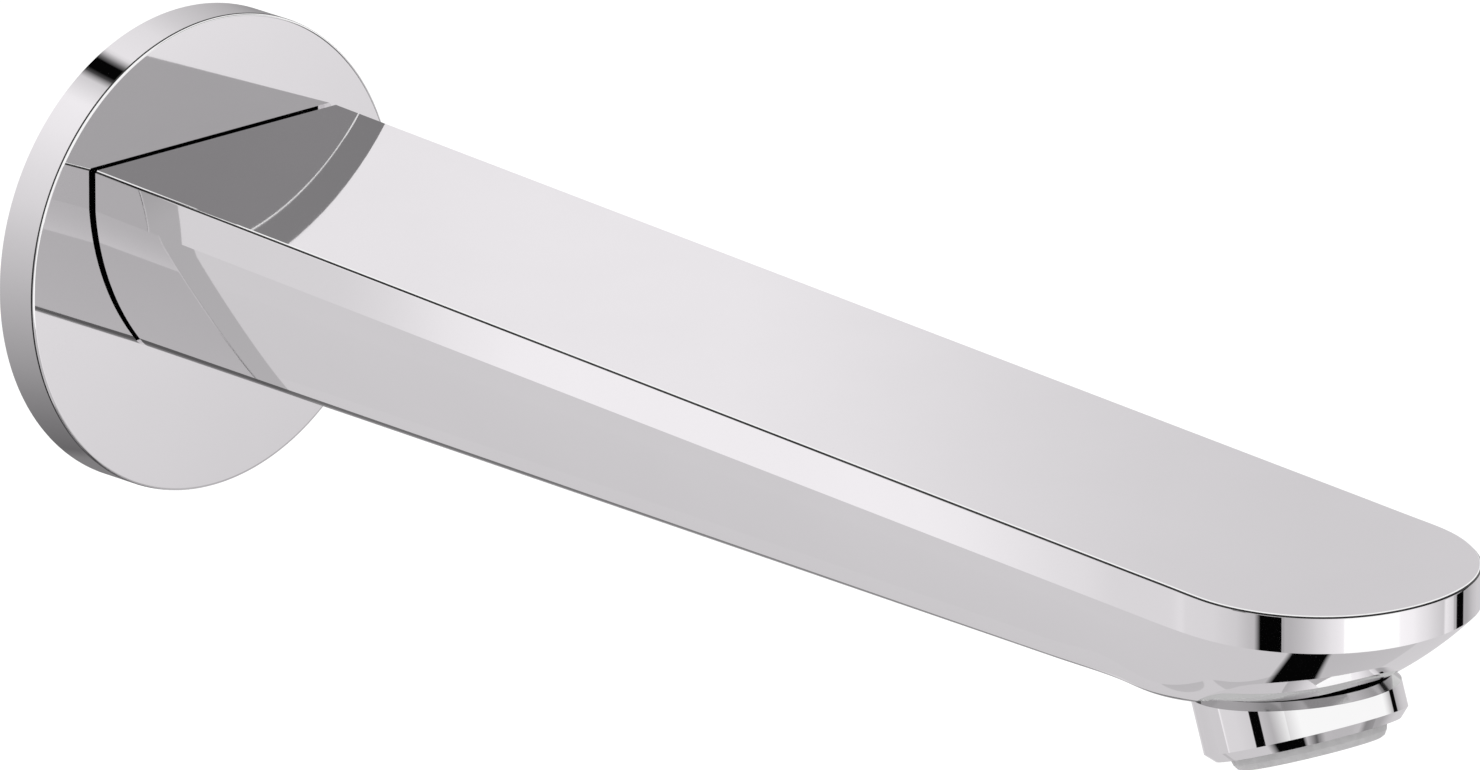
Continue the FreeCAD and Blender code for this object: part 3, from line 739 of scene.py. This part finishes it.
def card_material(name):
    """Material of light alone, with its emission node and the object's own X, Y and Z."""
    mat, tree, bsdf = new_material(name)
    tree.nodes.remove(bsdf)
    split = tree.nodes.new("ShaderNodeSeparateXYZ")
    tree.links.new(object_place(tree), split.inputs["Vector"])
    return mat, tree, tree.nodes.new("ShaderNodeEmission"), split.outputs


def faded(tree, shader, place, soft):
    """The shader, clear towards the soft sides of its card."""
    clear = tree.nodes.new("ShaderNodeBsdfTransparent")
    mix = tree.nodes.new("ShaderNodeMixShader")
    across, upward = (ramp(tree, place[axis], fade_stops(*ends))
                      for axis, ends in (("X", soft[:2]), ("Y", soft[2:])))
    tree.links.new(multiply(tree, across, upward), mix.inputs["Fac"])
    tree.links.new(clear.outputs["BSDF"], mix.inputs[1])
    tree.links.new(shader, mix.inputs[2])
    return mix.outputs["Shader"]


def glossy_only(obj, mat, shader):
    """Gives the card its material and hides it from all but reflections."""
    tree = mat.node_tree
    tree.links.new(shader, tree.nodes["Material Output"].inputs["Surface"])
    obj.data.materials.append(mat)
    obj.visible_camera = False
    obj.visible_diffuse = False
    obj.visible_shadow = False
    obj.visible_transmission = False


def card(name, corner, along, across, tones, soft=(0, 0, 0, 0)):
    """Flat card from a corner and two edge vectors in metres. tones are (place, tone) along the
    first edge. soft gives the share of each side that fades out: start, end, low, high."""
    mesh = bpy.data.meshes.new(name)
    mesh.from_pydata([(0, 0, 0), (1, 0, 0), (1, 1, 0), (0, 1, 0)], [], [(0, 1, 2, 3)])
    obj = add_object(name, mesh)
    set_axes(obj, along, across, np.cross(along, across), corner)
    mat, tree, light, place = card_material(name)
    tree.links.new(ramp(tree, place["X"], tone_stops(tones)), light.inputs["Color"])
    shader = light.outputs["Emission"]
    if any(soft):
        shader = faded(tree, shader, place, soft)
    glossy_only(obj, mat, shader)


def ring_card(name, y, inner, outer, tones):
    """Upright ring about the Y axis in millimetres. tones are (angle, tone), with the angle in
    degrees from -X towards +Z."""
    around = circle(X, Z, RING_STEPS + 1, closed=True)
    points = (np.concatenate([around * inner, around * outer]) + y * Y) * MM
    faces = [(k, k + 1, k + RING_STEPS + 2, k + RING_STEPS + 1) for k in range(RING_STEPS)]
    mesh = bpy.data.meshes.new(name)
    mesh.from_pydata(points.tolist(), [], faces)
    mat, tree, light, place = card_material(name)
    join = tree.nodes.new("ShaderNodeCombineXYZ")
    tree.links.new(multiply(tree, place["X"], -1.0), join.inputs["X"])
    tree.links.new(place["Z"], join.inputs["Y"])
    turn = tree.nodes.new("ShaderNodeTexGradient")
    turn.gradient_type = "RADIAL"
    tree.links.new(join.outputs["Vector"], turn.inputs["Vector"])
    stops = tone_stops((angle / 360 + 0.5, tone) for angle, tone in tones)
    tree.links.new(ramp(tree, turn.outputs["Fac"], stops), light.inputs["Color"])
    glossy_only(add_object(name, mesh), mat, light.outputs["Emission"])


bpy.context.scene.view_settings.view_transform = "Standard"
photo_camera(azimuth=43.180, elevation=17.703, scale=244.471, share=0.0069)
set_world(strength=1.0)
add_floor(height=-0.7, size=9.0, glow=0.12)
add_light("key", place=(-0.5, -0.9, 1.2), target=(0, -0.1, 0), size=0.8, power=6.0)

# Beyond the top face, as it is seen from the camera: brighter over the root than over the nose
card("card_top", (0.45, 0.18, 0.16), (0, 0.32, 0), (0, 0, 0.24),
     places(0.18, 0.50, (0.244, 205), (0.274, 209), (0.304, 216), (0.334, 225), (0.360, 231),
            (0.400, 231), (0.425, 229)), soft=(0, 0, 0.1, 0.1))

# Beyond the upright flank and the nose's rim
card("card_flank", (-0.45, -0.45, -0.245), (0, 0.95, 0), (0, 0, 0.30),
     places(-0.45, 0.50, (-0.45, 165), (-0.30, 178), (-0.22, 191), (-0.145, 205), (0.03, 214),
            (0.20, 215), (0.261, 216), (0.278, 228), (0.293, 237), (0.30, 239), (0.383, 239),
            (0.398, 231), (0.408, 220), (0.418, 212), (0.45, 210)), soft=(0, 0.05, 0, 0.2))
card("card_flank_front", (-0.45, -1.75, -0.5), (0, 1.3, 0), (0, 0, 0.6),
     places(-1.75, -0.45, (-1.75, 247), (-1.65, 242), (-1.07, 228), (-0.79, 212), (-0.61, 192),
            (-0.49, 178), (-0.45, 176)), soft=(0.1, 0, 0, 0.2))

# The darker ground that the rounded underside shows, and the wall at its right
card("card_ground_wall", (-0.45, -0.45, -0.5), (0, 1.45, 0), (0, 0, 0.255),
     [(0.0, 203), (1.0, 204)])
card("card_ground", (-0.45, -0.42, -0.5), (0.51, 0, 0), (0, 1.5, 0), [(0.0, 203), (1.0, 200)])
card("card_ground_front", (-0.45, -1.3, -0.5), (1.0, 0, 0), (0, 0.88, 0),
     [(0.0, 180), (1.0, 186)])
card("card_ground_back", (0.06, 0.15, -0.5), (1.3, 0, 0), (0, 1.3, 0), [(0.0, 202), (1.0, 190)])
card("card_ground_right", (0.06, -0.42, -0.5), (0.4, 0, 0), (0, 0.57, 0),
     [(0.0, 184), (1.0, 192)])
card("card_right_wall", (0.46, -1.3, -0.5), (0, 2.5, 0), (0, 0, 0.55),
     places(-1.3, 1.2, (-1.24, 248), (-0.9, 242), (-0.69, 225), (-0.55, 207), (-0.44, 190),
            (-0.36, 165), (-0.268, 167), (-0.18, 193), (-0.1, 203), (1.2, 212)),
     soft=(0.03, 0.03, 0, 0.1))

# Dark flags that the nose, its bowl and the boss show
card("flag_left", (-0.44, -0.425, -0.18), (0, 0.17, 0), (0, 0, 0.12), even(3),
     soft=(0, 0.2, 0, 0.05))
card("flag_left_high", (-0.44, -0.225, -0.10), (0, 0.09, 0), (0, 0.02, 0.10), even(4),
     soft=(0.05, 0.05, 0, 0.1))
card("flag_right", (0.44, -0.378, -0.17), (0, 0.07, 0), (0, 0.122, 0.19), even(4),
     soft=(0.1, 0.1, 0, 0))
card("flag_below", (-0.225, -0.338, -0.49), (0.125, -0.125, 0), (0.19, 0.194, 0), even(4),
     soft=(0.2, 0.1, 0.05, 0))
card("flag_below_far", (-0.05, -0.155, -0.49), (0.085, -0.085, 0), (0.22, 0.224, 0), even(4),
     soft=(0.15, 0.1, 0, 0.1))
card("flag_outlet", (0.0, -0.405, -0.495), (0.455, 0, 0), (0, 0.14, 0),
     [(0.0, 90), (0.6, 115), (1.0, 150)], soft=(0.1, 0, 0.15, 0.15))
card("flag_over", (-0.02, 0.42, 0.40), (0.14, 0, 0), (0, 0.03, 0.06), even(4),
     soft=(0.2, 0.2, 0.2, 0.2))

# What the rosette's face shows, directly and in the body
card("card_face_direct", (0.30, -0.40, -0.27), (-0.0645, 0, 0.135), (0.18, 0, 0.086),
     [(0.15, 205), (0.5, 218), (0.85, 232)], soft=(0.1, 0.1, 0.1, 0.1))
card("card_front_high", (0.30, -0.64, 0.12), (0, 0, 0.28), (0.32, 0.30, 0),
     [(0.0, 168), (0.34, 164), (0.48, 134), (1.0, 125)], soft=(0.05, 0.1, 0.1, 0.1))

# What the rosette's skirt shows, by the angle, and what the body shows of the rosette's edge
ring_card("card_skirt", 20.0, 26.0, 58.0, [
    (-82, 125), (-76, 102), (-60, 120), (-48, 135), (-36, 152), (-24, 165), (-11, 179), (8, 198),
    (22, 214), (32, 221), (48, 233), (60, 238), (69, 206), (72, 5), (78, 5), (82, 229),
    (97, 222), (108, 205), (118, 193), (133, 174), (146, 146)])
ring_card("card_rim", -5.9, 30.02, 35.0, [
    (-60, 174), (10, 172), (30, 150), (50, 128), (140, 122)])
